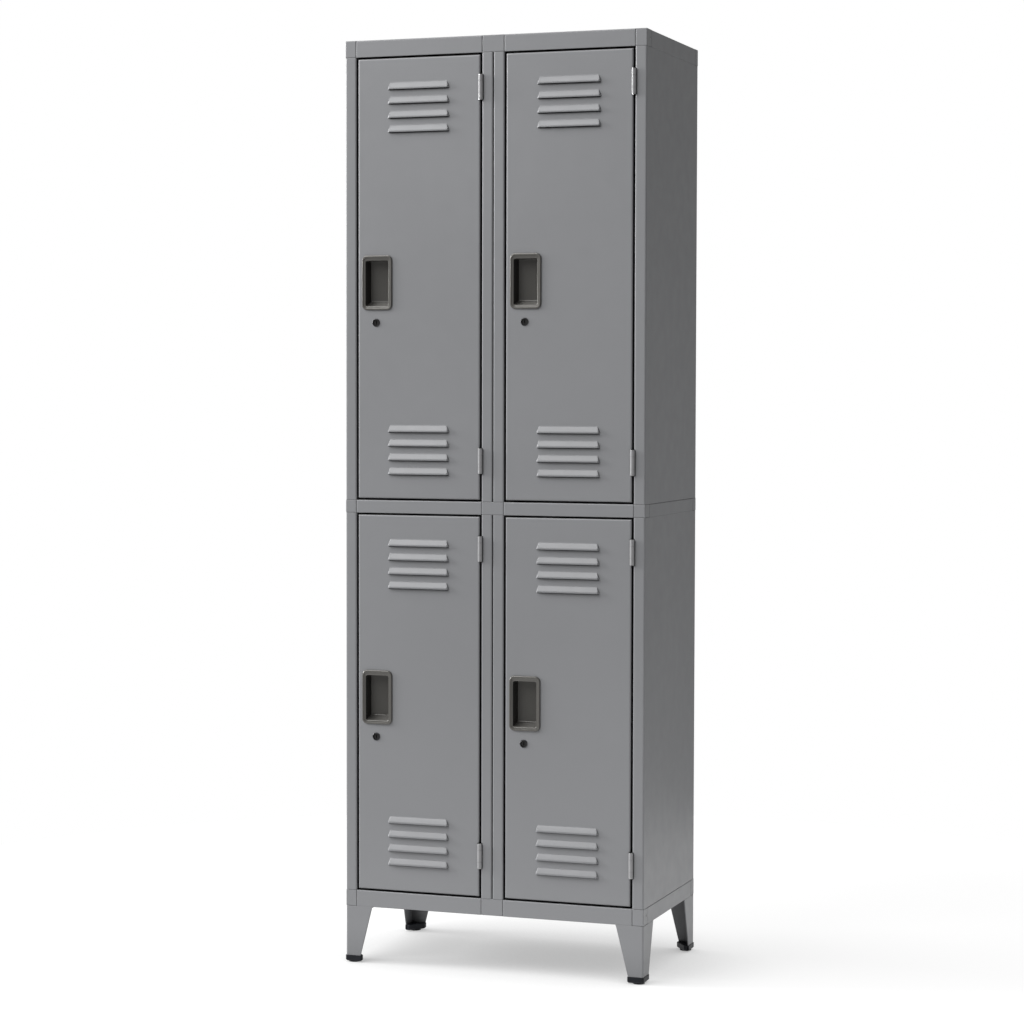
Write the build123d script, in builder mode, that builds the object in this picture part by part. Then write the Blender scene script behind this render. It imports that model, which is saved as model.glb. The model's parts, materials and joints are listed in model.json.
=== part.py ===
"""A knock-down steel locker cabinet with four doors, two columns wide and two tiers high.

The origin is on the floor, at the middle of the cabinet's plan. +X is to the right of a person facing the
doors, +Y is to the rear and +Z is up. All sizes are in millimetres.
"""

import os

from build123d import *

os.makedirs("parts", exist_ok=True)

# Overall sizes of the sheet metal body
width = 610.0
depth = 350.0
height = 1800.0
leg_height = 112.0
lower_opening = 742.0

# Bands: the folded edges of the trays, seen between the doors
bottom_band = 32.0
middle_band = 25.0
top_band = 32.5

# Sheet metal
sheet = 1.0
bend_radius = 3.0
edge_radius = 2.0
post_face = 22.7
jamb_lip = 12.0
rear_flange = 20.0
end_flange = 15.0
centre_groove = 1.2
back_panel_inset = 8.0
back_panel_overlap = 10.0

# Doors
door_gap = 3.8
door_end_gap = 3.6
door_depth = 18.0
door_stop_gap = 1.0
door_hem = 12.0

# Corner and centre blocks, which join the trays and the wall panels
block_width = 22.0
front_block_depth = 28.0
rear_block_depth = 20.0
block_edge = 0.8
screw_head_radius = 2.6
screw_head_height = 0.8
screw_head_taper = 20.0
screw_cross_length = 2.9
screw_cross_width = 0.6
screw_shank_radius = 1.5
screw_length = 12.0
screw_from_front = 21.0
screw_clearance = 0.1

# Louvres pressed in each door
louvre_width = 127.0
louvre_height = 14.0
louvre_out = 5.0
louvre_lip = 3.0
louvre_round = 1.5
louvre_end_slope = 3.3
louvre_top_inset = 5.5
louvre_pitch = 27.4
louvre_count = 4
louvre_first_below_top = 60.2
louvre_last_above_bottom = {"upper": 46.7, "lower": 50.7}

# Recessed handle
bezel_width = 62.4
bezel_height = 105.5
bezel_out = 3.0
bezel_corner = 10.0
bezel_round = 1.8
bezel_lip = 4.0
bezel_step = 0.9
cup_width = 47.0
cup_height = 88.0
cup_below_bezel_middle = 1.3
cup_corner = 3.5
cup_depth = 18.0
cup_side_draft = 3.0
cup_top_draft = 1.0
cup_floor_rise = 8.0
cup_wall = 1.2
cup_clearance = 0.2
handle_from_column = 66.5
handle_from_door_middle = {"upper": -6.7, "lower": 10.8}

# Cam lock
lock_from_handle_middle = -2.2
lock_below_bezel = 24.6
lock_flange_radius = 7.8
lock_flange_height = 1.4
lock_body_radius = 7.0
lock_body_length = 19.5
lock_hole_clearance = 0.1
plug_radius = 6.1
plug_clearance = 0.05
plug_recess = 2.2
keyway_width = 1.8
keyway_height = 7.0
keyway_depth = 9.0
tail_size = 6.0
tail_end = 2.0
cam_gap = 1.0
cam_thickness = 2.0
cam_width = 14.0
cam_reach = 38.0

# Hinges
barrel_radius = 4.5
barrel_length = 48.6
barrel_out = 2.0
leaf = 1.3
knuckle_middle = 23.0
knuckle_gap = 0.3
pin_clearance = 0.05
pin_head_height = 0.8
pin_head_radius = 3.9
hinge_swing_gap = 0.5
leaf_rear_margin = 2.0
hinge_below_top = 62.0
hinge_above_bottom = {"upper": 74.5, "lower": 79.0}
leaf_front_gap = 0.4

# Legs and foot caps
leg_sheet = 2.0
leg_front_top = 55.0
leg_front_bottom = 28.0
leg_side_top = 66.0
leg_side_bottom = 34.0
cap_height = 14.0
cap_floor = 5.0
cap_out = 1.2
cap_round = 2.8
cap_bevel = 2.4
cap_top_round = 0.8
cap_margin = 4.0
cap_inner = 9.0
cap_clearance = 0.2
glide_radius = 11.5
glide_height = 2.5
glide_edge = 0.6
glide_x = 12.5
glide_y = 13.5

# Places worked out from the sizes above
front = -depth / 2
rear = depth / 2
lower_floor = leg_height + bottom_band
lower_ceiling = lower_floor + lower_opening
upper_floor = lower_ceiling + middle_band
upper_ceiling = height - top_band
column_width = width / 2
column_left = {"left": -column_width, "right": 0.0}
hinge_wall = {"left": "inner", "right": "outer"}
tier_floor = {"lower": lower_floor, "upper": upper_floor}
tier_ceiling = {"lower": lower_ceiling, "upper": upper_ceiling}
levels = {
    "bottom": (leg_height, bottom_band),
    "middle": (lower_ceiling, middle_band),
    "top": (upper_ceiling, top_band),
}
door_width = column_width - 2 * post_face - 2 * door_gap
jamb_depth = door_depth + door_stop_gap + sheet
cam_front = jamb_depth + cam_gap
pin_radius = barrel_radius - leaf - pin_clearance
leaf_gap = door_gap / 2 - leaf


def save(piece, name):
    """Names a finished piece and writes its own file."""
    piece.part.label = name
    export_step(piece.part, f"parts/{name}.step")


def span(x_low, x_high, y_low, y_high):
    """Adds a rectangle between two corners to the open sketch."""
    with Locations(((x_low + x_high) / 2, (y_low + y_high) / 2)):
        Rectangle(x_high - x_low, y_high - y_low)


def front_plane(x, z):
    """A plane on the doors' front face, facing out, with its X to the right."""
    return Plane(origin=(x, front, z), x_dir=(1, 0, 0), z_dir=(0, -1, 0))


def edge_x(column, wall):
    """The X of a column's outer or inner wall face, and the sign that points into the compartment."""
    side = -1 if column == "left" else 1
    if wall == "outer":
        return side * width / 2, -side
    return side * centre_groove / 2, side


def opening_x(column, wall):
    """The X of the edge of a door opening, at a column's outer or inner post."""
    side = -1 if column == "left" else 1
    return side * (width / 2 - post_face) if wall == "outer" else side * post_face


def door_left(column):
    """The X of a door's left edge. Every door hangs on its right edge."""
    return column_left[column] + post_face + door_gap


def hinge_x(column):
    """The X of a door's hinge axis, in the middle of the gap beside it."""
    return column_left[column] + column_width - post_face - door_gap / 2


def door_bottom(tier):
    return tier_floor[tier] + door_end_gap


def door_top(tier):
    return tier_ceiling[tier] - door_end_gap


def hinge_heights(tier):
    """The middle heights of a door's two hinges."""
    return (door_bottom(tier) + hinge_above_bottom[tier], door_top(tier) - hinge_below_top)


def handle_middle(column, tier):
    """The X and Z of the middle of a door's handle."""
    z = (door_bottom(tier) + door_top(tier)) / 2 + handle_from_door_middle[tier]
    return column_left[column] + handle_from_column, z


def lock_middle(column, tier):
    """The X and Z of a door's lock axis."""
    x, z = handle_middle(column, tier)
    return x + lock_from_handle_middle, z - bezel_height / 2 - lock_below_bezel


def louvre_heights(tier):
    """The heights of the lower lips of a door's louvres, from the top down."""
    first = door_top(tier) - louvre_first_below_top
    last = door_bottom(tier) + louvre_last_above_bottom[tier]
    upper = [first - louvre_pitch * i for i in range(louvre_count)]
    lower = [last + louvre_pitch * i for i in reversed(range(louvre_count))]
    return upper + lower


def tray_outline(column, inset=0.0):
    """The plan of a tray: its column's rectangle, less a notch for each block. An inset shrinks it."""
    side = -1 if column == "left" else 1
    x_edges = sorted((side * width / 2, side * centre_groove / 2))
    notch_edges = sorted((side * (width / 2 - block_width), side * block_width))
    y_low, y_high = front + front_block_depth, rear - rear_block_depth
    span(x_edges[0] + inset, x_edges[1] - inset, y_low + inset, y_high - inset)
    span(notch_edges[0] + inset, notch_edges[1] - inset, front + inset, rear - inset)


# Trays: a flat sheet with a flange hanging from every edge, and round the notches for the blocks
for level, (band_low, band) in levels.items():
    for column in ("left", "right"):
        outer_x = edge_x(column, "outer")[0]
        with BuildPart() as tray:
            with BuildSketch(Plane.XY.offset(band_low)):
                tray_outline(column)
            extrude(amount=band)
            rims = tray.edges().group_by(Axis.Z)[-1]
            uprights = tray.edges().filter_by(Axis.Z)
            seen = []
            for edges in (rims, uprights):
                seen += edges.filter_by_position(Axis.Y, front - sheet, front + sheet)
                seen += edges.filter_by_position(Axis.Y, rear - sheet, rear + sheet)
                seen += edges.filter_by_position(Axis.X, outer_x - sheet, outer_x + sheet)
            fillet(seen, radius=edge_radius)
            with BuildSketch(Plane.XY.offset(band_low)):
                tray_outline(column, inset=sheet)
            extrude(amount=band - sheet, mode=Mode.SUBTRACT)
        save(tray, f"{level}_tray_{column}")

# Wall panels: a side wall whose front edge folds round into the post, the door jamb and the strike lip,
# and whose rear edge folds in behind the back panel
for tier in ("lower", "upper"):
    low, high = tier_floor[tier], tier_ceiling[tier]
    for column in ("left", "right"):
        for wall in ("outer", "inner"):
            face_x, inward = edge_x(column, wall)
            jamb_x = opening_x(column, wall)
            half = sheet / 2
            wall_line = face_x + inward * half
            jamb_line = jamb_x - inward * half
            profile = (
                (jamb_x + inward * jamb_lip, front + jamb_depth - half),
                (jamb_line, front + jamb_depth - half),
                (jamb_line, front + half),
                (wall_line, front + half),
                (wall_line, rear - half),
                (face_x + inward * rear_flange, rear - half),
            )
            with BuildPart() as panel:
                with BuildSketch(Plane.XY.offset(low)):
                    with BuildLine():
                        FilletPolyline(*profile, radius=bend_radius - half)
                    trace(line_width=sheet)
                extrude(amount=high - low)
                flange_x = sorted((face_x + inward * half, face_x + inward * end_flange))
                for flange_z in (low, high - sheet):
                    with BuildSketch(Plane.XY.offset(flange_z)):
                        span(*flange_x, front + jamb_depth + block_width, rear - rear_block_depth)
                    extrude(amount=sheet)
                if wall == hinge_wall[column]:
                    for z in hinge_heights(tier):
                        notch = barrel_radius + hinge_swing_gap
                        with BuildSketch(Plane.XY.offset(z - barrel_length / 2 - hinge_swing_gap)):
                            axis = hinge_x(column)
                            span(axis - notch, axis + notch, front - notch, front - barrel_out + notch)
                        extrude(amount=barrel_length + 2 * hinge_swing_gap, mode=Mode.SUBTRACT)
            save(panel, f"{tier}_{column}_{wall}_wall")

# Back panels: plain sheets held in front of the wall panels' rear flanges and the tray's rear edge
for tier in ("lower", "upper"):
    for column in ("left", "right"):
        x_edges = sorted(edge_x(column, wall)[0] for wall in ("outer", "inner"))
        with BuildPart() as back_panel:
            with BuildSketch(Plane.XY.offset(tier_floor[tier])):
                x_low = x_edges[0] + back_panel_inset
                span(x_low, x_edges[1] - back_panel_inset, rear - 2 * sheet, rear - sheet)
            extrude(amount=tier_ceiling[tier] - tier_floor[tier])
            with BuildSketch(Plane.XY.offset(tier_ceiling[tier])):
                x_low = x_edges[0] + block_width + sheet
                span(x_low, x_edges[1] - block_width - sheet, rear - 2 * sheet, rear - sheet)
            extrude(amount=back_panel_overlap)
        save(back_panel, f"{tier}_{column}_back_panel")

# Corner and centre blocks: one at each corner and in the middle, front and rear, of each level
screw_y = front + screw_from_front
corner_spans = (
    (-width / 2, block_width - width / 2),
    (width / 2 - block_width, width / 2),
)
for level, (band_low, band) in levels.items():
    with BuildPart() as corner_blocks:
        with BuildSketch(Plane.XY.offset(band_low)):
            for x_low, x_high in corner_spans:
                span(x_low, x_high, front, front + front_block_depth)
                span(x_low, x_high, rear - rear_block_depth, rear)
        extrude(amount=band)
        chamfer(corner_blocks.edges(), length=block_edge)
        if level != "middle":
            for side in (-1, 1):
                side_face = Plane(origin=(side * width / 2, screw_y, band_low + band / 2), z_dir=(side, 0, 0))
                with BuildSketch(side_face):
                    Circle(screw_shank_radius + screw_clearance)
                extrude(amount=-screw_length, mode=Mode.SUBTRACT)
    save(corner_blocks, f"{level}_corner_blocks")

    with BuildPart() as centre_blocks:
        with BuildSketch(Plane.XY.offset(band_low)):
            span(-block_width, block_width, front, front + front_block_depth)
            span(-block_width, block_width, rear - rear_block_depth, rear)
        extrude(amount=band)
        chamfer(centre_blocks.edges(), length=block_edge)
    save(centre_blocks, f"{level}_centre_blocks")

# Block screws: a low domed head on the side face, with a cross slot, and a shank into the block
with BuildPart() as screws:
    for side in (-1, 1):
        for level in ("bottom", "top"):
            band_low, band = levels[level]
            face = Plane(origin=(side * width / 2, screw_y, band_low + band / 2), z_dir=(side, 0, 0))
            with BuildSketch(face.offset(screw_clearance - screw_length)):
                Circle(screw_shank_radius)
            extrude(amount=screw_length - screw_clearance)
            with BuildSketch(face):
                Circle(screw_head_radius)
            extrude(amount=screw_head_height, taper=screw_head_taper)
            with BuildSketch(face.offset(screw_head_height)):
                Rectangle(screw_cross_length, screw_cross_width)
                Rectangle(screw_cross_width, screw_cross_length)
            extrude(amount=-screw_head_height / 2, mode=Mode.SUBTRACT)
save(screws, "block_screws")

# Legs: two tapering plates that meet at the cabinet's corner, under a fixing plate


def leg_section(corner_x, corner_y, front_width, side_width, thick):
    """An L in plan, whose outer corner is a corner of the cabinet."""
    x_in = -1 if corner_x > 0 else 1
    y_in = -1 if corner_y > 0 else 1
    xs = sorted((corner_x, corner_x + x_in * front_width))
    ys = sorted((corner_y, corner_y + y_in * thick))
    span(*xs, *ys)
    xs = sorted((corner_x, corner_x + x_in * thick))
    ys = sorted((corner_y, corner_y + y_in * side_width))
    span(*xs, *ys)


corners = {
    "front_left": (-width / 2, front),
    "front_right": (width / 2, front),
    "rear_left": (-width / 2, rear),
    "rear_right": (width / 2, rear),
}
for corner, (corner_x, corner_y) in corners.items():
    x_in = -1 if corner_x > 0 else 1
    y_in = -1 if corner_y > 0 else 1
    with BuildPart() as leg:
        with BuildSketch(Plane.XY.offset(cap_floor)):
            leg_section(corner_x, corner_y, leg_front_bottom, leg_side_bottom, leg_sheet)
        with BuildSketch(Plane.XY.offset(leg_height)):
            leg_section(corner_x, corner_y, leg_front_top, leg_side_top, leg_sheet)
        loft(ruled=True)
        with BuildSketch(Plane.XY.offset(leg_height)):
            with BuildLine():
                Polyline(
                    (corner_x, corner_y),
                    (corner_x + x_in * leg_front_top, corner_y),
                    (corner_x + x_in * leg_front_top, corner_y + y_in * block_width),
                    (corner_x + x_in * block_width, corner_y + y_in * leg_side_top),
                    (corner_x, corner_y + y_in * leg_side_top),
                    close=True,
                )
            make_face()
        extrude(amount=-leg_sheet)
        uprights = leg.edges().filter_by(Axis.Z)
        corner_edge = uprights.sort_by(lambda e: abs(e.center().X) + abs(e.center().Y))[-1]
        fillet(corner_edge, radius=bend_radius)
    save(leg, f"{corner}_leg")

    with BuildPart() as cap:
        with BuildSketch(Plane.XY.offset(glide_height)):
            x_out = corner_x - x_in * cap_out
            y_out = corner_y - y_in * cap_out
            x_end = corner_x + x_in * (leg_front_bottom + cap_margin)
            y_end = corner_y + y_in * (leg_side_bottom + cap_margin)
            with BuildLine():
                Polyline(
                    (x_out, y_out),
                    (x_end, y_out),
                    (x_end, corner_y + y_in * cap_inner),
                    (corner_x + x_in * cap_inner, y_end),
                    (x_out, y_end),
                    close=True,
                )
            make_face()
            fillet(vertices(), radius=cap_round)
        extrude(amount=cap_height - glide_height)
        chamfer(cap.edges().group_by(Axis.Z)[0], length=cap_bevel)
        fillet(cap.edges().group_by(Axis.Z)[-1], radius=cap_top_round)
        with BuildSketch(Plane.XY.offset(cap_floor)):
            grip = leg_sheet + cap_clearance
            front_room = leg_front_bottom + (cap_height - cap_floor) / 2
            side_room = leg_side_bottom + (cap_height - cap_floor) / 2
            leg_section(corner_x, corner_y, front_room, side_room, grip)
        extrude(amount=cap_height, mode=Mode.SUBTRACT)
        glide_plane = Plane(origin=(corner_x + x_in * glide_x, corner_y + y_in * glide_y, 0))
        with BuildSketch(glide_plane):
            Circle(glide_radius)
        extrude(amount=glide_height)
        chamfer(cap.edges().group_by(Axis.Z)[0], length=glide_edge)
    save(cap, f"{corner}_foot_cap")

# One louvre: a hood with a sloping roof, an open lower edge, and sloping ends that draw in towards the top


def hood_block(thin):
    """The louvre's solid shape, or its hollow when thin is the sheet's thickness."""
    half = louvre_width / 2 - thin
    out = louvre_out - thin
    tall = louvre_height - thin
    crest_half = half - louvre_end_slope
    top_half = half - louvre_top_inset
    with BuildPart() as hood:
        with BuildSketch(Plane.YZ.offset(-half)):
            with BuildLine():
                Polyline(
                    (sheet, -thin),
                    (sheet, tall),
                    (0, tall),
                    (-out, louvre_lip - thin),
                    (-out, -thin),
                    close=True,
                )
            make_face()
        extrude(amount=2 * half)
        with BuildSketch(Plane.XY.offset(-thin)):
            with BuildLine():
                Polyline(
                    (-half, sheet),
                    (-half, 0),
                    (-crest_half, -out),
                    (crest_half, -out),
                    (half, 0),
                    (half, sheet),
                    close=True,
                )
            make_face()
        extrude(amount=louvre_height + thin, mode=Mode.INTERSECT)
        with BuildSketch(Plane.XZ.offset(-sheet)):
            with BuildLine():
                Polyline((-half, -thin), (-top_half, tall), (top_half, tall), (half, -thin), close=True)
            make_face()
        extrude(amount=louvre_out + sheet, mode=Mode.INTERSECT)
        if not thin:
            outer = hood.edges().filter_by(lambda e: e.center().Y < 0 and e.center().Z > 0)
            fillet(outer, radius=louvre_round)
    return hood.part


louvre_solid = hood_block(0.0)
louvre_hollow = hood_block(sheet)


def door_hollow(face, wide, tall):
    """The room inside a door's folded edges, whose front edges follow the inside of the folds."""
    with BuildPart() as hollow:
        with BuildSketch(face.offset(-sheet)):
            Rectangle(wide - 2 * sheet, tall - 2 * sheet)
        extrude(amount=-(door_depth - 2 * sheet))
        fillet(hollow.edges().group_by(Axis.Y)[0], radius=bend_radius - sheet)
    return hollow.part


# The inside of the handle's cup at its back, and how far its middle is above the mouth's
back_width = cup_width - 2 * cup_side_draft
back_height = cup_height - cup_top_draft - cup_floor_rise
back_rise = (cup_floor_rise - cup_top_draft) / 2

# Doors: a shallow pan whose edges fold back and then in, with louvres, and holes for the handle and lock
for tier in ("lower", "upper"):
    low, high = door_bottom(tier), door_top(tier)
    for column in ("left", "right"):
        left = door_left(column)
        right = left + door_width
        handle_x, handle_z = handle_middle(column, tier)
        lock_x, lock_z = lock_middle(column, tier)
        with BuildPart() as door:
            face = front_plane((left + right) / 2, (low + high) / 2)
            with BuildSketch(face):
                Rectangle(door_width, high - low)
            extrude(amount=-door_depth)
            fillet(door.edges().group_by(Axis.Y)[0], radius=bend_radius)
            add(door_hollow(face, door_width, high - low), mode=Mode.SUBTRACT)
            with BuildSketch(face.offset(-door_depth + sheet)):
                Rectangle(door_width - 2 * door_hem, high - low - 2 * door_hem)
            extrude(amount=-sheet, mode=Mode.SUBTRACT)
            for z in louvre_heights(tier):
                with Locations(((left + right) / 2, front, z)):
                    add(louvre_solid)
                    add(louvre_hollow, mode=Mode.SUBTRACT)
            with BuildSketch(face.offset(-2 * sheet)):
                cup_z = handle_z - cup_below_bezel_middle
                with Locations((handle_x - (left + right) / 2, cup_z - (low + high) / 2)):
                    room = 2 * (cup_wall + cup_clearance)
                    RectangleRounded(cup_width + room, cup_height + room, cup_corner + cup_wall)
                with Locations((lock_x - (left + right) / 2, lock_z - (low + high) / 2)):
                    Circle(lock_body_radius + lock_hole_clearance)
            extrude(amount=3 * sheet, mode=Mode.SUBTRACT)
            for z in hinge_heights(tier):
                notch = barrel_radius + hinge_swing_gap
                with BuildSketch(Plane.XY.offset(z - barrel_length / 2 - hinge_swing_gap)):
                    axis = hinge_x(column)
                    span(axis - notch, axis + notch, front - notch, front - barrel_out + notch)
                extrude(amount=barrel_length + 2 * hinge_swing_gap, mode=Mode.SUBTRACT)
        save(door, f"{tier}_{column}_door")

        with BuildPart() as handle:
            plate = front_plane(handle_x, handle_z)
            with BuildSketch(plate):
                RectangleRounded(bezel_width, bezel_height, bezel_corner)
            extrude(amount=bezel_out)
            outer_rim = handle.edges().group_by(Axis.Y)[0]
            fillet(outer_rim, radius=bezel_round)
            with BuildSketch(plate.offset(bezel_out)):
                inner_corner = bezel_corner - bezel_lip
                RectangleRounded(bezel_width - 2 * bezel_lip, bezel_height - 2 * bezel_lip, inner_corner)
            extrude(amount=-bezel_step, mode=Mode.SUBTRACT)
            cup_face = front_plane(handle_x, cup_z)
            cup_back = front_plane(handle_x, cup_z + back_rise).offset(-cup_depth)
            with BuildSketch(cup_face):
                RectangleRounded(cup_width + 2 * cup_wall, cup_height + 2 * cup_wall, cup_corner + cup_wall)
            with BuildSketch(cup_back.offset(-cup_wall)):
                RectangleRounded(back_width + 2 * cup_wall, back_height + 2 * cup_wall, cup_corner + cup_wall)
            loft(ruled=True)
            with BuildSketch(cup_face):
                RectangleRounded(cup_width, cup_height, cup_corner)
            with BuildSketch(cup_back):
                RectangleRounded(back_width, back_height, cup_corner)
            loft(ruled=True, mode=Mode.SUBTRACT)
            with BuildSketch(cup_face):
                RectangleRounded(cup_width, cup_height, cup_corner)
            extrude(amount=bezel_out, mode=Mode.SUBTRACT)
        save(handle, f"{tier}_{column}_handle")

        lock_face = front_plane(lock_x, lock_z)
        with BuildPart() as lock_body:
            with BuildSketch(lock_face):
                Circle(lock_flange_radius)
            extrude(amount=lock_flange_height)
            fillet(lock_body.edges().group_by(Axis.Y)[0], radius=lock_flange_height / 2)
            with BuildSketch(lock_face):
                Circle(lock_body_radius)
            extrude(amount=-lock_body_length)
            with BuildSketch(lock_face.offset(lock_flange_height)):
                Circle(plug_radius + plug_clearance)
            extrude(amount=-(lock_flange_height + lock_body_length), mode=Mode.SUBTRACT)
        save(lock_body, f"{tier}_{column}_lock_body")

        with BuildPart() as plug:
            plug_face = lock_face.offset(lock_flange_height - plug_recess)
            with BuildSketch(plug_face):
                Circle(plug_radius)
            extrude(amount=-(lock_flange_height - plug_recess + cam_front))
            with BuildSketch(lock_face.offset(-cam_front)):
                Rectangle(tail_size, tail_size)
            extrude(amount=-(cam_thickness + tail_end))
            with BuildSketch(plug_face):
                SlotOverall(keyway_height, keyway_width, rotation=90)
            extrude(amount=-keyway_depth, mode=Mode.SUBTRACT)
        save(plug, f"{tier}_{column}_lock_plug")

        with BuildPart() as cam:
            with BuildSketch(lock_face.offset(-cam_front)):
                with BuildLine():
                    half = cam_width / 2
                    Line((-half, 0), (-half, -cam_reach))
                    Line((-half, -cam_reach), (half, -cam_reach))
                    Line((half, -cam_reach), (half, 0))
                    ThreePointArc((half, 0), (0, half), (-half, 0))
                make_face()
                Rectangle(tail_size, tail_size, mode=Mode.SUBTRACT)
            extrude(amount=-cam_thickness)
            tip = cam.edges().filter_by(Axis.Y).group_by(Axis.Z)[0]
            fillet(tip, radius=cam_thickness)
        save(cam, f"{tier}_{column}_lock_cam")

# Hinges: two leaves in the gap beside the door, rolled round one pin in front of it
knuckle_end = (barrel_length - 2 * pin_head_height - knuckle_middle - 2 * knuckle_gap) / 2


def hinge_leaf(x, z, side, knuckles):
    """One leaf of a hinge: a flat plate on the given side of the axis, and its rolled knuckles."""
    axis_y = front - barrel_out
    plate_x = sorted((x + side * leaf_gap, x + side * door_gap / 2))
    plate_front = axis_y + barrel_radius + leaf_front_gap
    length = barrel_length - 2 * pin_head_height
    with BuildPart() as one_leaf:
        with BuildSketch(Plane.XY.offset(z - length / 2)):
            span(*plate_x, plate_front, front + door_depth - leaf_rear_margin)
        extrude(amount=length)
        for low, tall in knuckles:
            with BuildSketch(Plane.XY.offset(z + low)):
                with Locations((x, axis_y)):
                    Circle(barrel_radius)
                span(*plate_x, axis_y, plate_front)
                with Locations((x, axis_y)):
                    Circle(barrel_radius - leaf, mode=Mode.SUBTRACT)
            extrude(amount=tall)
    return one_leaf.part


middle_low = -knuckle_middle / 2
end_low = middle_low - knuckle_gap - knuckle_end
door_knuckles = ((middle_low, knuckle_middle),)
frame_knuckles = ((end_low, knuckle_end), (-middle_low + knuckle_gap, knuckle_end))

for tier in ("lower", "upper"):
    for column in ("left", "right"):
        with BuildPart() as door_leaves:
            for z in hinge_heights(tier):
                add(hinge_leaf(hinge_x(column), z, -1, door_knuckles))
        save(door_leaves, f"{tier}_{column}_door_hinge_leaves")

with BuildPart() as frame_leaves:
    for tier in ("lower", "upper"):
        for column in ("left", "right"):
            for z in hinge_heights(tier):
                add(hinge_leaf(hinge_x(column), z, 1, frame_knuckles))
save(frame_leaves, "frame_hinge_leaves")

with BuildPart() as pins:
    for tier in ("lower", "upper"):
        for column in ("left", "right"):
            for z in hinge_heights(tier):
                stem = barrel_length - 2 * pin_head_height
                with Locations((hinge_x(column), front - barrel_out, z)):
                    Cylinder(pin_radius, stem)
                for end in (-1, 1):
                    head_z = z + end * (stem + pin_head_height) / 2
                    with Locations((hinge_x(column), front - barrel_out, head_z)):
                        Cylinder(pin_head_radius, pin_head_height)
save(pins, "hinge_pins")
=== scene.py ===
"""Looks for the steel locker cabinet: materials, finely made handles, studio light and camera. Metres."""
import json
import math

import bmesh
import bpy
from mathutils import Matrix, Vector


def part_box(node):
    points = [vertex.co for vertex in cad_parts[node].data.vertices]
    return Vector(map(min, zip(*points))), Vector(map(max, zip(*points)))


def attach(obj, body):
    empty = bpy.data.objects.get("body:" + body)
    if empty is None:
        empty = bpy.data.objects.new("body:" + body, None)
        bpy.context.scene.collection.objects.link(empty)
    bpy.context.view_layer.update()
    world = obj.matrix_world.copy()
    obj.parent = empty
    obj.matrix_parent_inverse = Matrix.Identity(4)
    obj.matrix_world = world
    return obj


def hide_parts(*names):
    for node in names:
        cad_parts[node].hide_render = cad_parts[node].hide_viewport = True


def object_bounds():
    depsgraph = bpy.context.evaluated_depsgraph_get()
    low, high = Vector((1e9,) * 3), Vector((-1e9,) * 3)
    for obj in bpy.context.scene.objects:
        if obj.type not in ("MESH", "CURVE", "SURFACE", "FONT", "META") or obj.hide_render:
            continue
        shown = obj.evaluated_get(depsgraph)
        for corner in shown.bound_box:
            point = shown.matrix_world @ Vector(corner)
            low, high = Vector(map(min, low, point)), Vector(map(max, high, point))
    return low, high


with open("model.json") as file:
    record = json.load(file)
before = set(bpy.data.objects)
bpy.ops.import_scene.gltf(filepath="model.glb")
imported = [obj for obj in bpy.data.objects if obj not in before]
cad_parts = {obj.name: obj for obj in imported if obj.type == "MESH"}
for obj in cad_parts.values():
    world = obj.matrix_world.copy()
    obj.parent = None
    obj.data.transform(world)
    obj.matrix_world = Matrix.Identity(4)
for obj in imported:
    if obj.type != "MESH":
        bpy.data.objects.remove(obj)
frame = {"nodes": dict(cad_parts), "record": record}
cad_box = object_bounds()

# Camera, at the photograph's viewing angle
CAMERA_PLACE = (1.752, -4.980, 1.129)
CAMERA_TURN = 19.62
CAMERA_DIP = 2.654
CAMERA_ROLL = -0.114
LENS = 93.93

# Paint: base colours, and how far and how much painted shade darkens it in corners and narrow gaps
GREY = (0.205, 0.208, 0.216)
HINGE_GREY = (0.25, 0.25, 0.255)
HANDLE_GREY = (0.12, 0.116, 0.108)
CORNER_SHADE_REACH = 0.15
CORNER_SHADE_DARKEST = 0.25
GAP_SHADE_REACH = 0.006
GAP_SHADE_DARKEST = 0.06
SHADE_SAMPLES = 8
EDGE_SAMPLES = 6

# Handle, in millimetres: a bezel round the mouth of a tapering cup
MM = 0.001
BEZEL_CORNER = 10.0
BEZEL_OUT = 3.0
BEZEL_WIDE = 7.6
BEZEL_ROUND = 1.4
STEP_DOWN = 0.9
STEP_EASE = 0.1
MOUTH_ROUND = 1.6
CUP_WIDTH = 47.0
CUP_HEIGHT = 88.0
CUP_BELOW_MIDDLE = 1.3
CUP_CORNER = 3.5
CUP_SIDE_DRAFT = 3.0
CUP_TOP_DRAFT = 1.0
CUP_FLOOR_RISE = 8.0
CUP_WALL = 1.2
CUP_DEPTH = 18.0
CUP_BACK_ROUND = 1.4
CORNER_STEPS = 8
ROUND_STEPS = 6
BACK_STEPS = 5
SHARP_ANGLE = 38

# Where things lie on the bezel, as shares of the way from its edge to the mouth
BACK_EDGE = 0.02
SHOULDER_END = 0.2
STEP_START = 0.42
STEP_END = 0.52
STEP_BEND = 0.03
MOUTH_START = 0.79

# Studio: a wide key light from above and in front, a rim light grazing from the left,
# a weak fill low on the right, and a glowing floor with a painted shadow near the object
FLOOR_RADIUS = 1.8
FLOOR_GLOW = 0.82
FLOOR_SHADE = 0.5
FLOOR_SHADE_REACH = 0.35
FLOOR_TONE = 0.22
FLOOR_TONE_DRIFT = 0.01
SURROUND = 0.31
KEY_FROM = (-0.45, -0.55, 0.70)
KEY_AWAY = 5.5
KEY_SIZE = 4.8
KEY_POWER = 295.0
RIM_FROM = (-0.95, -0.14, 0.28)
RIM_AWAY = 9.0
RIM_SIZE = 3.6
RIM_POWER = 1150.0
FILL_FROM = (0.93, -0.30, -0.30)
FILL_AWAY = 1.9
FILL_SIZE = 1.0
FILL_POWER = 2.2


# ---------------------------------------------------------------- materials

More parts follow.
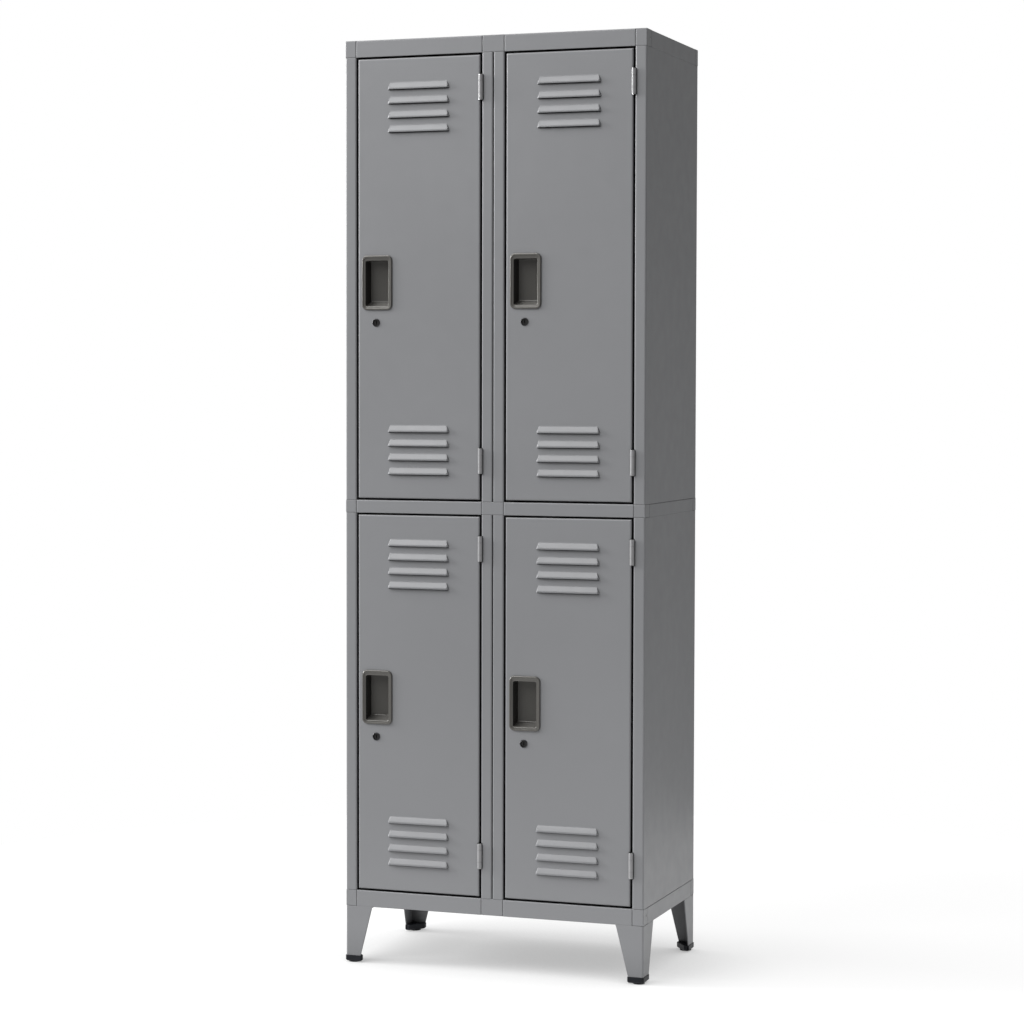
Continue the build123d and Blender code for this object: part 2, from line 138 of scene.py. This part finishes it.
def new_material(name):
    """An empty node material and its shader."""
    material = bpy.data.materials.new(name)
    material.use_nodes = True
    return material, material.node_tree, material.node_tree.nodes["Principled BSDF"]


def noise(tree, scale, detail=2.0):
    """A noise texture in object space, in metres."""
    place = tree.nodes.new("ShaderNodeTexCoord")
    texture = tree.nodes.new("ShaderNodeTexNoise")
    texture.inputs["Scale"].default_value = scale
    texture.inputs["Detail"].default_value = detail
    tree.links.new(place.outputs["Object"], texture.inputs["Vector"])
    return texture.outputs["Fac"]


def ramp(tree, value, stops):
    """A colour ramp with the given (place, colour) stops."""
    node = tree.nodes.new("ShaderNodeValToRGB")
    band = node.color_ramp
    while len(band.elements) < len(stops):
        band.elements.new(0.5)
    for element, (place, colour) in zip(band.elements, stops):
        element.position = place
        element.color = (*colour, 1.0)
    tree.links.new(value, node.inputs["Fac"])
    return node.outputs["Color"]


def shade(colour, factor):
    return tuple(channel * factor for channel in colour)


def mottle(tree, value, colour, low, high):
    """A colour that drifts with a noise, from low to high times its brightness."""
    return ramp(tree, value, ((0.3, shade(colour, low)), (0.7, shade(colour, high))))


def multiply(tree, colour, factor):
    """A colour times a grey."""
    product = tree.nodes.new("ShaderNodeMix")
    product.data_type = "RGBA"
    product.blend_type = "MULTIPLY"
    product.inputs["Factor"].default_value = 1.0
    tree.links.new(colour, product.inputs["A"])
    tree.links.new(factor, product.inputs["B"])
    return product.outputs["Result"]


def between(tree, value, low, high):
    """Maps a noise's usual range, 0.25 to 0.75, to low to high."""
    node = tree.nodes.new("ShaderNodeMapRange")
    node.inputs["From Min"].default_value = 0.25
    node.inputs["From Max"].default_value = 0.75
    node.inputs["To Min"].default_value = low
    node.inputs["To Max"].default_value = high
    tree.links.new(value, node.inputs["Value"])
    return node.outputs["Result"]


def uneven_gloss(tree, shader, scale, rough, drift):
    """Roughness that drifts a little either way."""
    gloss = between(tree, noise(tree, scale), rough - drift, rough + drift)
    tree.links.new(gloss, shader.inputs["Roughness"])


def shelter(tree, reach, darkest, low=0.25, high=0.65):
    """A grey for painted shade, falling from white to darkest where other surfaces close a point in within a
    reach.
    """
    node = tree.nodes.new("ShaderNodeAmbientOcclusion")
    node.samples = SHADE_SAMPLES
    node.inputs["Distance"].default_value = reach
    return ramp(tree, node.outputs["AO"], ((low, (darkest,) * 3), (high, (1.0, 1.0, 1.0))))


def painted_crevice_shade(tree, colour, reach, darkest):
    """Paints shade into a colour in gaps and corners."""
    return multiply(tree, colour, shelter(tree, reach, darkest))


def bump(tree, shader, height, strength, distance, soft_edge=0.0):
    """Feeds a height into the shader's normal, over edges softened by a small radius."""
    node = tree.nodes.new("ShaderNodeBump")
    if soft_edge:
        rounded = tree.nodes.new("ShaderNodeBevel")
        rounded.samples = EDGE_SAMPLES
        rounded.inputs["Radius"].default_value = soft_edge
        tree.links.new(rounded.outputs["Normal"], node.inputs["Normal"])
    node.inputs["Strength"].default_value = strength
    node.inputs["Distance"].default_value = distance
    tree.links.new(height, node.inputs["Height"])
    tree.links.new(node.outputs["Normal"], shader.inputs["Normal"])


def powder_coat(name, colour, rough, soft_edge=0.002):
    """Baked powder paint: a fine orange peel, slow drifts of tone, slightly uneven gloss, and painted shade
    in corners and narrow gaps.
    """
    material, tree, shader = new_material(name)
    paint = mottle(tree, noise(tree, 2.2, detail=3.0), colour, 0.965, 1.035)
    # Painted shade: darker in corners and under the cabinet, near black deep in narrow gaps
    paint = painted_crevice_shade(tree, paint, CORNER_SHADE_REACH, CORNER_SHADE_DARKEST)
    paint = painted_crevice_shade(tree, paint, GAP_SHADE_REACH, GAP_SHADE_DARKEST)
    tree.links.new(paint, shader.inputs["Base Color"])
    uneven_gloss(tree, shader, 35.0, rough, 0.04)
    orange_peel = noise(tree, 900.0, detail=2.5)
    bump(tree, shader, orange_peel, strength=0.12, distance=0.0002, soft_edge=soft_edge)
    shader.inputs["Specular IOR Level"].default_value = 0.45
    return material


def metal(name, colour, rough, metallic=1.0, spread=0.12, darkest=0.2):
    """Plain or plated metal with a fine cast grain, and painted shade in its crevices."""
    material, tree, shader = new_material(name)
    fine = noise(tree, 1400.0, detail=3.0)
    # Painted shade in the metal's crevices, within 4 mm
    surface = painted_crevice_shade(tree, mottle(tree, fine, colour, 1 - spread, 1 + spread), 0.004, darkest)
    tree.links.new(surface, shader.inputs["Base Color"])
    uneven_gloss(tree, shader, 120.0, rough, 0.06)
    bump(tree, shader, fine, strength=0.15, distance=0.0001)
    shader.inputs["Metallic"].default_value = metallic
    return material


def fade(tree, value, start, end, last):
    """Falls from 1 at start to last at end."""
    node = tree.nodes.new("ShaderNodeMapRange")
    node.interpolation_type = "SMOOTHSTEP"
    node.inputs["From Min"].default_value = start
    node.inputs["From Max"].default_value = end
    node.inputs["To Min"].default_value = 1.0
    node.inputs["To Max"].default_value = last
    tree.links.new(value, node.inputs["Value"])
    return node.outputs["Result"]


def cup_metal(name, colour, rough, face_y):
    """Dark lacquered die casting with painted shade: darker behind the door's face, and darkest on walls that
    face +X, away from the light.
    """
    material, tree, shader = new_material(name)
    fine = noise(tree, 1400.0, detail=3.0)
    place = tree.nodes.new("ShaderNodeTexCoord")
    position = tree.nodes.new("ShaderNodeSeparateXYZ")
    tree.links.new(place.outputs["Object"], position.inputs["Vector"])
    facing = tree.nodes.new("ShaderNodeSeparateXYZ")
    tree.links.new(place.outputs["Normal"], facing.inputs["Vector"])
    tone = tree.nodes.new("ShaderNodeMath")
    tone.operation = "MULTIPLY"
    # Painted shade: darker deeper in the cup, and darker still on walls that face +X, away from the light
    depth = fade(tree, position.outputs["Y"], face_y + 0.0005, face_y + 0.004, last=0.75)
    sideways = fade(tree, facing.outputs["X"], 0.3, 0.9, last=0.25)
    tree.links.new(depth, tone.inputs[0])
    tree.links.new(sideways, tone.inputs[1])
    surface = multiply(tree, mottle(tree, fine, colour, 0.96, 1.04), tone.outputs["Value"])
    tree.links.new(surface, shader.inputs["Base Color"])
    uneven_gloss(tree, shader, 120.0, rough, 0.02)
    bump(tree, shader, fine, strength=0.1, distance=0.0001)
    shader.inputs["Metallic"].default_value = 0.4
    return material


def moulded_plastic(name, colour, rough):
    """Moulded plastic with a fine spark-eroded grain."""
    material, tree, shader = new_material(name)
    tree.links.new(mottle(tree, noise(tree, 60.0), colour, 0.8, 1.25), shader.inputs["Base Color"])
    uneven_gloss(tree, shader, 200.0, rough, 0.05)
    bump(tree, shader, noise(tree, 1600.0, detail=3.0), strength=0.25, distance=0.0002)
    shader.inputs["Specular IOR Level"].default_value = 0.18
    return material


door_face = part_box("upper_left_handle")[0][1] + BEZEL_OUT * MM
MATERIALS = {
    "cabinet_paint": powder_coat("cabinet_paint", GREY, 0.38),
    "door_paint": powder_coat("door_paint", GREY, 0.38),
    "block_paint": powder_coat("block_paint", GREY, 0.37),
    "hinge_paint": powder_coat("hinge_paint", HINGE_GREY, 0.3, soft_edge=0.0005),
    "hinge_steel": metal("hinge_steel", (0.55, 0.55, 0.55), 0.3),
    "screw_steel": metal("screw_steel", (0.3, 0.3, 0.3), 0.35),
    "handle_metal": cup_metal("handle_metal", HANDLE_GREY, 0.24, door_face),
    "lock_metal": metal("lock_metal", (0.1, 0.1, 0.104), 0.18, spread=0.05),
    "lock_core": metal("lock_core", (0.02, 0.02, 0.02), 0.3, metallic=0.3, darkest=0.05),
    "cam_zinc": metal("cam_zinc", (0.6, 0.58, 0.52), 0.35),
    "foot_plastic": moulded_plastic("foot_plastic", (0.009, 0.01, 0.013), 0.42),
}


def dress_frame():
    """Gives every CAD node the material of its slot."""
    for part in frame["record"]["subparts"]:
        mesh = frame["nodes"][part["node"]].data
        mesh.materials.clear()
        mesh.materials.append(MATERIALS[part["material_slot"]])


# ---------------------------------------------------------------- handles

def arc(centre, radius, start, end, steps):
    """Points on an arc, from one angle to another in degrees."""
    angles = [math.radians(start + (end - start) * i / steps) for i in range(steps + 1)]
    return [(centre[0] + radius * math.cos(a), centre[1] + radius * math.sin(a)) for a in angles]


def box_loop(width, height, corner, rise=0.0):
    """A rounded rectangle's points, anticlockwise seen from the front, its middle raised by rise."""
    points = []
    places = ((1, 1, 0), (-1, 1, 90), (-1, -1, 180), (1, -1, 270))
    for x_sign, z_sign, start in places:
        centre = (x_sign * (width / 2 - corner), rise + z_sign * (height / 2 - corner))
        points += arc(centre, corner, start, start + 90, CORNER_STEPS)
    return points


def mix_loops(first, last, share):
    """A loop that lies a share of the way from the first to the last."""
    return [(a[0] + (b[0] - a[0]) * share, a[1] + (b[1] - a[1]) * share) for a, b in zip(first, last)]


def bezel_section():
    """The bezel from its back edge to the cup's mouth: the share of the way in, and the height."""
    step = BEZEL_OUT - STEP_DOWN
    shoulder = arc((0.0, BEZEL_OUT - BEZEL_ROUND), BEZEL_ROUND, 180, 90, ROUND_STEPS)
    section = [(BACK_EDGE, 0.0)]
    section += [(SHOULDER_END * (1 + x / BEZEL_ROUND), out) for x, out in shoulder]
    section += [(STEP_START, BEZEL_OUT), (STEP_START + STEP_BEND, BEZEL_OUT - STEP_EASE)]
    section += [(STEP_END - STEP_BEND, step + STEP_EASE), (STEP_END, step)]
    mouth = arc((0.0, step - MOUTH_ROUND), MOUTH_ROUND, 90, 0, ROUND_STEPS)
    section += [(MOUTH_START + x / BEZEL_WIDE, out) for x, out in mouth]
    return section


def handle_rings(width, height):
    """The shell's rings, from behind the cup round to its inside: each a loop and its height off the door."""
    bezel = box_loop(width, height, BEZEL_CORNER)
    mouth = box_loop(CUP_WIDTH, CUP_HEIGHT, CUP_CORNER, -CUP_BELOW_MIDDLE)
    rings = [(mix_loops(bezel, mouth, share), out) for share, out in bezel_section()]
    back_width = CUP_WIDTH - 2 * CUP_SIDE_DRAFT
    back_height = CUP_HEIGHT - CUP_TOP_DRAFT - CUP_FLOOR_RISE
    back_rise = (CUP_FLOOR_RISE - CUP_TOP_DRAFT) / 2 - CUP_BELOW_MIDDLE
    back = box_loop(back_width, back_height, CUP_CORNER, back_rise)
    for share in (0.25, 0.5, 0.75, 0.92):
        rings.append((mix_loops(mouth, back, share), -CUP_DEPTH * share))
    for x, out in arc((CUP_BACK_ROUND, CUP_BACK_ROUND - CUP_DEPTH), CUP_BACK_ROUND, 195, 270, BACK_STEPS):
        inner = box_loop(back_width - 2 * x, back_height - 2 * x, CUP_CORNER - x / 2, back_rise)
        rings.append((inner, out))
    walls = 2 * CUP_WALL
    outer_corner = CUP_CORNER + CUP_WALL
    outer_back = box_loop(back_width + walls, back_height + walls, outer_corner, back_rise)
    outer_mouth = box_loop(CUP_WIDTH + walls, CUP_HEIGHT + walls, outer_corner, -CUP_BELOW_MIDDLE)
    return [(outer_back, -CUP_DEPTH - CUP_WALL), (outer_mouth, 0.0)] + rings


def make_handle(node, body):
    """A handle as one closed shell with a stepped bezel and rounded edges, in place of the CAD solid."""
    low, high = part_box(node)
    width, height = (high[0] - low[0]) / MM, (high[2] - low[2]) / MM
    middle = Vector(((low[0] + high[0]) / 2, low[1] + BEZEL_OUT * MM, (low[2] + high[2]) / 2))
    shell = bmesh.new()
    loops = []
    for points, out in handle_rings(width, height):
        loops.append([shell.verts.new(middle + Vector((x, -out, z)) * MM) for x, z in points])
    for outer, inner in zip(loops, loops[1:]):
        for i, corner in enumerate(outer):
            j = (i + 1) % len(outer)
            shell.faces.new((corner, outer[j], inner[j], inner[i]))
    shell.faces.new(list(reversed(loops[0])))
    shell.faces.new(loops[-1])
    bmesh.ops.recalc_face_normals(shell, faces=shell.faces)
    mesh = bpy.data.meshes.new(f"{node}_shell")
    shell.to_mesh(mesh)
    shell.free()
    mesh.shade_smooth()
    mesh.set_sharp_from_angle(angle=math.radians(SHARP_ANGLE))
    piece = bpy.data.objects.new(f"{node}_shell", mesh)
    bpy.context.scene.collection.objects.link(piece)
    piece.data.materials.append(MATERIALS["handle_metal"])
    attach(piece, body)
    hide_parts(node)


# ---------------------------------------------------------------- studio

def soft_box(name, direction, distance, size, power):
    """A round area light, in a direction from the middle of the object and shining back at it."""
    data = bpy.data.lights.new(name, "AREA")
    data.shape = "DISK"
    data.size = size
    data.energy = power
    light = bpy.data.objects.new(name, data)
    light.visible_camera = False
    away = Vector(direction).normalized()
    light.location = (Vector(cad_box[0]) + Vector(cad_box[1])) / 2 + away * distance
    light.rotation_euler = away.to_track_quat("Z", "Y").to_euler()
    bpy.context.scene.collection.objects.link(light)


def make_floor():
    """A pale round floor that glows, with a painted shadow that dims the glow close to the object."""
    middle = (0.0, 0.0, 0.0)
    bpy.ops.mesh.primitive_circle_add(vertices=96, radius=FLOOR_RADIUS, fill_type="NGON", location=middle)
    floor = bpy.context.object
    floor.name = "studio_floor"
    material, tree, shader = new_material("studio_floor")
    pale = ((0.3, (FLOOR_TONE - FLOOR_TONE_DRIFT,) * 3), (0.7, (FLOOR_TONE + FLOOR_TONE_DRIFT,) * 3))
    tree.links.new(ramp(tree, noise(tree, 1.5), pale), shader.inputs["Base Color"])
    shader.inputs["Roughness"].default_value = 0.9
    shader.inputs["Specular IOR Level"].default_value = 0.0
    # Painted shadow: the floor's glow dims where the object closes it in
    shaded = shelter(tree, FLOOR_SHADE_REACH, FLOOR_SHADE, low=0.2, high=0.9)
    tree.links.new(shaded, shader.inputs["Emission Color"])
    shader.inputs["Emission Strength"].default_value = FLOOR_GLOW
    floor.data.materials.append(material)


def make_surround():
    """Even light from all round, and plain white where the camera sees past the object."""
    world = bpy.data.worlds.new("studio")
    bpy.context.scene.world = world
    world.use_nodes = True
    nodes, links = world.node_tree.nodes, world.node_tree.links
    background = nodes["Background"]
    background.inputs["Color"].default_value = (1.0, 1.0, 1.0, 1.0)
    background.inputs["Strength"].default_value = SURROUND
    seen = nodes.new("ShaderNodeBackground")
    seen.inputs["Color"].default_value = (1.0, 1.0, 1.0, 1.0)
    seen.inputs["Strength"].default_value = 1.0
    path = nodes.new("ShaderNodeLightPath")
    mix = nodes.new("ShaderNodeMixShader")
    links.new(path.outputs["Is Camera Ray"], mix.inputs["Fac"])
    links.new(background.outputs["Background"], mix.inputs[1])
    links.new(seen.outputs["Background"], mix.inputs[2])
    links.new(mix.outputs["Shader"], nodes["World Output"].inputs["Surface"])


def make_camera():
    """The camera, which stands in front and to the right and looks a little down."""
    data = bpy.data.cameras.new("camera")
    data.lens = LENS
    data.sensor_width = 36.0
    camera = bpy.data.objects.new("camera", data)
    camera.location = CAMERA_PLACE
    turns = (90 - CAMERA_DIP, CAMERA_ROLL, CAMERA_TURN)
    camera.rotation_euler = [math.radians(turn) for turn in turns]
    bpy.context.scene.collection.objects.link(camera)
    bpy.context.scene.camera = camera


dress_frame()
for body, nodes in frame["record"]["behaviour"]["bodies"].items():
    for node in nodes:
        if node.endswith("_handle"):
            make_handle(node, body)
make_floor()
make_surround()
soft_box("key", KEY_FROM, KEY_AWAY, KEY_SIZE, KEY_POWER)
soft_box("rim", RIM_FROM, RIM_AWAY, RIM_SIZE, RIM_POWER)
soft_box("fill", FILL_FROM, FILL_AWAY, FILL_SIZE, FILL_POWER)
make_camera()
bpy.context.scene.view_settings.view_transform = "Standard"
